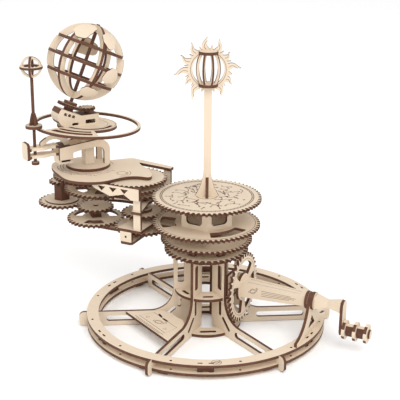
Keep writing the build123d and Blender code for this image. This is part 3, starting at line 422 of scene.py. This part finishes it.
# platform under the Earth: contour lines like a chart's
earth_x = node_centre("moon_hub").x / MM
platform_face = top_face("earth_platform")
CHART = (-96, -8)             # centre of the small dial beside the Earth
earth_spot = (earth_x, 0)
strokes = [
    arc(26.5, 40, 290, earth_spot),
    arc(29, -160, 120, earth_spot),
    arc(32, -150, 70, earth_spot),
    arc(29, 140, 70, earth_spot),
    arc(31.5, 120, 60, earth_spot),
    arc(12, -60, 120, CHART),
    arc(9, -50, 100, CHART),
    arc(5, 0, 360, (-94, -6)),
]
survey = random.Random(5)
for index in range(26):
    radius = survey.uniform(27, 34)
    angle = math.radians(130 + index * 9)
    x, y = earth_x + radius * math.cos(angle), radius * math.sin(angle)
    bend = survey.uniform(-1.5, 1.5)
    strokes.append([(x, y), (x + 2.2, y + bend), (x + 4.4, y - bend)])
engrave("platform_lines", "arm", platform_face, strokes, 0.6 * MM)

TRACK_LEAN = math.radians(3)
TRACK_HEIGHT = 196
TRACK_SHEET = 3.0
track_up = UP * math.cos(TRACK_LEAN) - ALONG * math.sin(TRACK_LEAN)
track_along = ALONG * math.cos(TRACK_LEAN) + UP * math.sin(TRACK_LEAN)
track_place = Vector((earth_x, 0, TRACK_HEIGHT)) * MM + track_up * TRACK_SHEET / 2 * MM
track_face = Face(track_place, track_along, track_up.cross(track_along))
engrave("track_lines", "earth_mount", track_face, [arc(29.4, 0, 360, steps=72), arc(21.5, 75, 250)],
        0.45 * MM)

crank_face = Face((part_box("crank_gear")[1].x, 0, CRANK_HEIGHT * MM), (0, 1, 0), (0, 0, 1))
engrave("crank_gear_lines", "crank", crank_face, [arc(29.2, 0, 360, steps=72)], 0.4 * MM)

# ---------------------------------------------------------------- Sun's flames
FLAME_ROOT = 19.5
FLAME_HOLE = 15.5
SUN_PLACE = Vector((0, 0, 0.268))
FLAME_SHEET = 2.8
POST_AZIMUTH = 270            # the flame here gives way to the post, POST_GAP degrees to each side
POST_GAP = 11.5
sun_face = Face(SUN_PLACE, sun_side, UP)


def flame_outline(azimuth, length, half_width, sway, steps=9):
    """S-curved tongue of flame, as (angle, radius) run of points from one foot over the tip to the other."""
    left = []
    right = []
    for index in range(steps + 1):
        step = index / steps
        middle = sway * math.sin(step * 1.55 * math.pi) * (0.4 + 0.6 * step)
        half = half_width * (1 - step) ** 0.85
        radius = FLAME_ROOT + step * length
        left.append((azimuth + math.degrees((middle - half) / radius), radius))
        right.append((azimuth + math.degrees((middle + half) / radius), radius))
    return left + right[-2::-1]


def extruded(name, outline, holes, face, thickness, body, material):
    """Sheet piece with straight cut edges, from an outline and holes in millimetres on a face."""
    curve = bpy.data.curves.new(name, "CURVE")
    curve.dimensions = "2D"
    curve.fill_mode = "BOTH"
    curve.extrude = thickness * MM / 2
    for loop in [outline, *holes]:
        spline = curve.splines.new("POLY")
        spline.points.add(len(loop) - 1)
        for point, (x, y) in zip(spline.points, loop):
            point.co = (x * MM, y * MM, 0, 1)
        spline.use_cyclic_u = True
    rough = bpy.data.objects.new(name, curve)
    bpy.context.scene.collection.objects.link(rough)
    bpy.context.view_layer.update()
    mesh = bpy.data.meshes.new_from_object(rough.evaluated_get(bpy.context.evaluated_depsgraph_get()))
    bpy.data.objects.remove(rough)
    place = Matrix((face.across, face.up, face.normal)).transposed().to_4x4()
    mesh.transform(Matrix.Translation(face.origin) @ place)
    mesh.materials.clear()
    mesh.materials.append(material)
    piece = bpy.data.objects.new(name, mesh)
    bpy.context.scene.collection.objects.link(piece)
    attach(piece, body)
    return piece


FLAMES = (                    # direction, tip radius and sway of each long flame
    (7, 31.5, 2.2), (36, 26.5, -1.6), (66, 31, -2.2), (97, 31.5, 2.2), (127, 30.5, 2.0), (157, 30, 1.8),
    (186, 33.5, -2.4), (211, 27, -1.4), (238, 34.5, -2.6), (270, 26, 0.0), (300, 29.5, 2.2), (331, 27, 1.6),
)
MAIN_HALF = 3.5
SMALL_LENGTH = 3.8
SMALL_SHARE = 0.86            # how much of the gap between two long flames a short one fills
MAIN_SPREAD = math.degrees(MAIN_HALF / FLAME_ROOT)
run = []
for index, (angle, tip, sway) in enumerate(FLAMES):
    following = FLAMES[(index + 1) % len(FLAMES)][0]
    gap = (following - angle) % 360
    small_half = SMALL_SHARE * math.radians(gap / 2 - MAIN_SPREAD) * FLAME_ROOT
    run += flame_outline(angle, tip - FLAME_ROOT, MAIN_HALF, sway)
    run += flame_outline(angle + gap / 2, SMALL_LENGTH, small_half, 0)
outline = []
for angle, radius in run:
    from_post = (angle - POST_AZIMUTH) % 360
    if POST_GAP <= from_post <= 360 - POST_GAP:
        outline.append((radius * math.cos(math.radians(angle)), radius * math.sin(math.radians(angle))))
flames = extruded("flame_disc", outline, [arc(FLAME_HOLE, 0, 360)[:-1]], sun_face, FLAME_SHEET, "base",
                  materials["sun_flames"])
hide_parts("sun_flames")
strokes = [arc(17.2, -75, 330)]
for angle, tip, sway in FLAMES:
    middle = flame_outline(angle, 0.8 * (tip - FLAME_ROOT), 0.01, sway)[:9]
    if angle != POST_AZIMUTH:
        strokes.append([(r * math.cos(math.radians(a)), r * math.sin(math.radians(a))) for a, r in middle])
for side in (1, -1):
    flame_face = Face(SUN_PLACE + sun_out * side * FLAME_SHEET / 2 * MM, sun_side * side, UP)
    engrave("flame_lines_front" if side > 0 else "flame_lines_back", "base", flame_face,
            [[(x * side, y) for x, y in stroke] for stroke in strokes], 0.4 * MM)

# ---------------------------------------------------------------- globe's land
GLOBE_RADIUS = 39.03
LAND_SHELL = 1.2
globe_x = ALONG * math.cos(AXIAL_TILT) + UP * math.sin(AXIAL_TILT)
globe_y = POLE.cross(globe_x)
globe_middle = Vector((earth_x * MM, 0, 0.262))
LAND = (                      # longitude, latitude, angular half-size and the outline's own phase
    (38, 50, 20, 0.4),
    (98, 46, 16, 1.9),
    (110, -6, 16, 3.1),
    (89, -42, 14.5, 4.4),
    (250, 22, 20, 5.2),
    (190, -34, 17, 2.6),
)


def globe_point(longitude, latitude):
    lon, lat = math.radians(longitude), math.radians(latitude)
    return (globe_x * math.cos(lon) + globe_y * math.sin(lon)) * math.cos(lat) + POLE * math.sin(lat)


def land_shell(name, longitude, latitude, size, phase):
    """Curved patch of the globe's skin with an irregular coastline."""
    outward = globe_point(longitude, latitude)
    side = outward.orthogonal().normalized()
    other = outward.cross(side)
    turns, rings = 60, 7
    vertices = []
    faces = []
    for radius in (GLOBE_RADIUS + LAND_SHELL, GLOBE_RADIUS):
        vertices.append(globe_middle + outward * radius * MM)
        for ring in range(1, rings + 1):
            for index in range(turns):
                angle = 2 * math.pi * index / turns
                coast = (0.80 + 0.10 * math.sin(2 * angle + phase) + 0.06 * math.sin(3 * angle + 2 * phase)
                         + 0.03 * math.sin(7 * angle + 3 * phase))
                reach = math.radians(size) * coast * ring / rings
                lean = side * math.cos(angle) + other * math.sin(angle)
                toward = outward * math.cos(reach) + lean * math.sin(reach)
                vertices.append(globe_middle + toward * radius * MM)
    half = 1 + rings * turns
    for index in range(turns):
        after = (index + 1) % turns
        faces.append((0, 1 + index, 1 + after))
        faces.append((half, half + 1 + after, half + 1 + index))
        for ring in range(rings - 1):
            a, b = 1 + ring * turns + index, 1 + ring * turns + after
            faces.append((a, a + turns, b + turns, b))
            faces.append((half + a, half + b, half + b + turns, half + a + turns))
        a, b = 1 + (rings - 1) * turns + index, 1 + (rings - 1) * turns + after
        faces.append((a, half + a, half + b, b))
    return mesh_piece(name, "globe", vertices, faces, land_wood)


land_wood = plywood("birch_land", ball_centre=GLOBE_CENTRE, skin=True)
for index, patch in enumerate(LAND):
    shell = land_shell(f"land_{index + 1}", *patch)
    if index == 0:
        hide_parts("globe_land")

# ---------------------------------------------------------------- camera
CAMERA_PLACE = Vector((402.7, -875.5, 475.9)) * MM
PITCH_DOWN = 0.34003
YAW = 0.00717
ROLL = 0.00919
FRAME_TURN = math.radians(24.7)
camera_data = bpy.data.cameras.new("camera")
camera_data.sensor_width = 36
camera_data.lens = 91.75
camera_data.clip_start = 0.05
camera_data.clip_end = 20
camera = bpy.data.objects.new("camera", camera_data)
bpy.context.scene.collection.objects.link(camera)
forward = Vector((-math.sin(YAW) * math.cos(PITCH_DOWN), math.cos(YAW) * math.cos(PITCH_DOWN),
                  -math.sin(PITCH_DOWN)))
right = Vector((math.cos(YAW), math.sin(YAW), 0))
above = right.cross(forward)
camera_x = right * math.cos(ROLL) + above * math.sin(ROLL)
camera_y = above * math.cos(ROLL) - right * math.sin(ROLL)
turn = Matrix((camera_x, camera_y, -forward)).transposed().to_4x4()
camera.matrix_world = Matrix.Translation(CAMERA_PLACE) @ Matrix.Rotation(FRAME_TURN, 4, "Z") @ turn
bpy.context.scene.camera = camera
bpy.context.scene.view_settings.view_transform = "Standard"

# ---------------------------------------------------------------- floor and light
floor_material = plain("floor", (0.97, 0.97, 0.97), 0.9)
bpy.ops.mesh.primitive_plane_add(size=12, location=(0, 0, -0.0005))
floor = bpy.context.object
floor.name = "floor"
floor.data.materials.append(floor_material)

world = bpy.data.worlds.new("studio")
bpy.context.scene.world = world
world.use_nodes = True
world.node_tree.nodes["Background"].inputs[0].default_value = (1, 1, 1, 1)
world.node_tree.nodes["Background"].inputs[1].default_value = 0.96


def softbox(name, place, target, size, power):
    light_data = bpy.data.lights.new(name, "AREA")
    light_data.size = size
    light_data.energy = power
    light = bpy.data.objects.new(name, light_data)
    bpy.context.scene.collection.objects.link(light)
    light.location = place
    light.rotation_euler = (Vector(target) - Vector(place)).to_track_quat("-Z", "Y").to_euler()


softbox("key_light", (0.9, -1.1, 1.6), (-0.03, 0, 0.13), 1.2, 22)
softbox("fill_light", (-1.5, -0.7, 1.0), (-0.03, 0, 0.13), 1.5, 6)
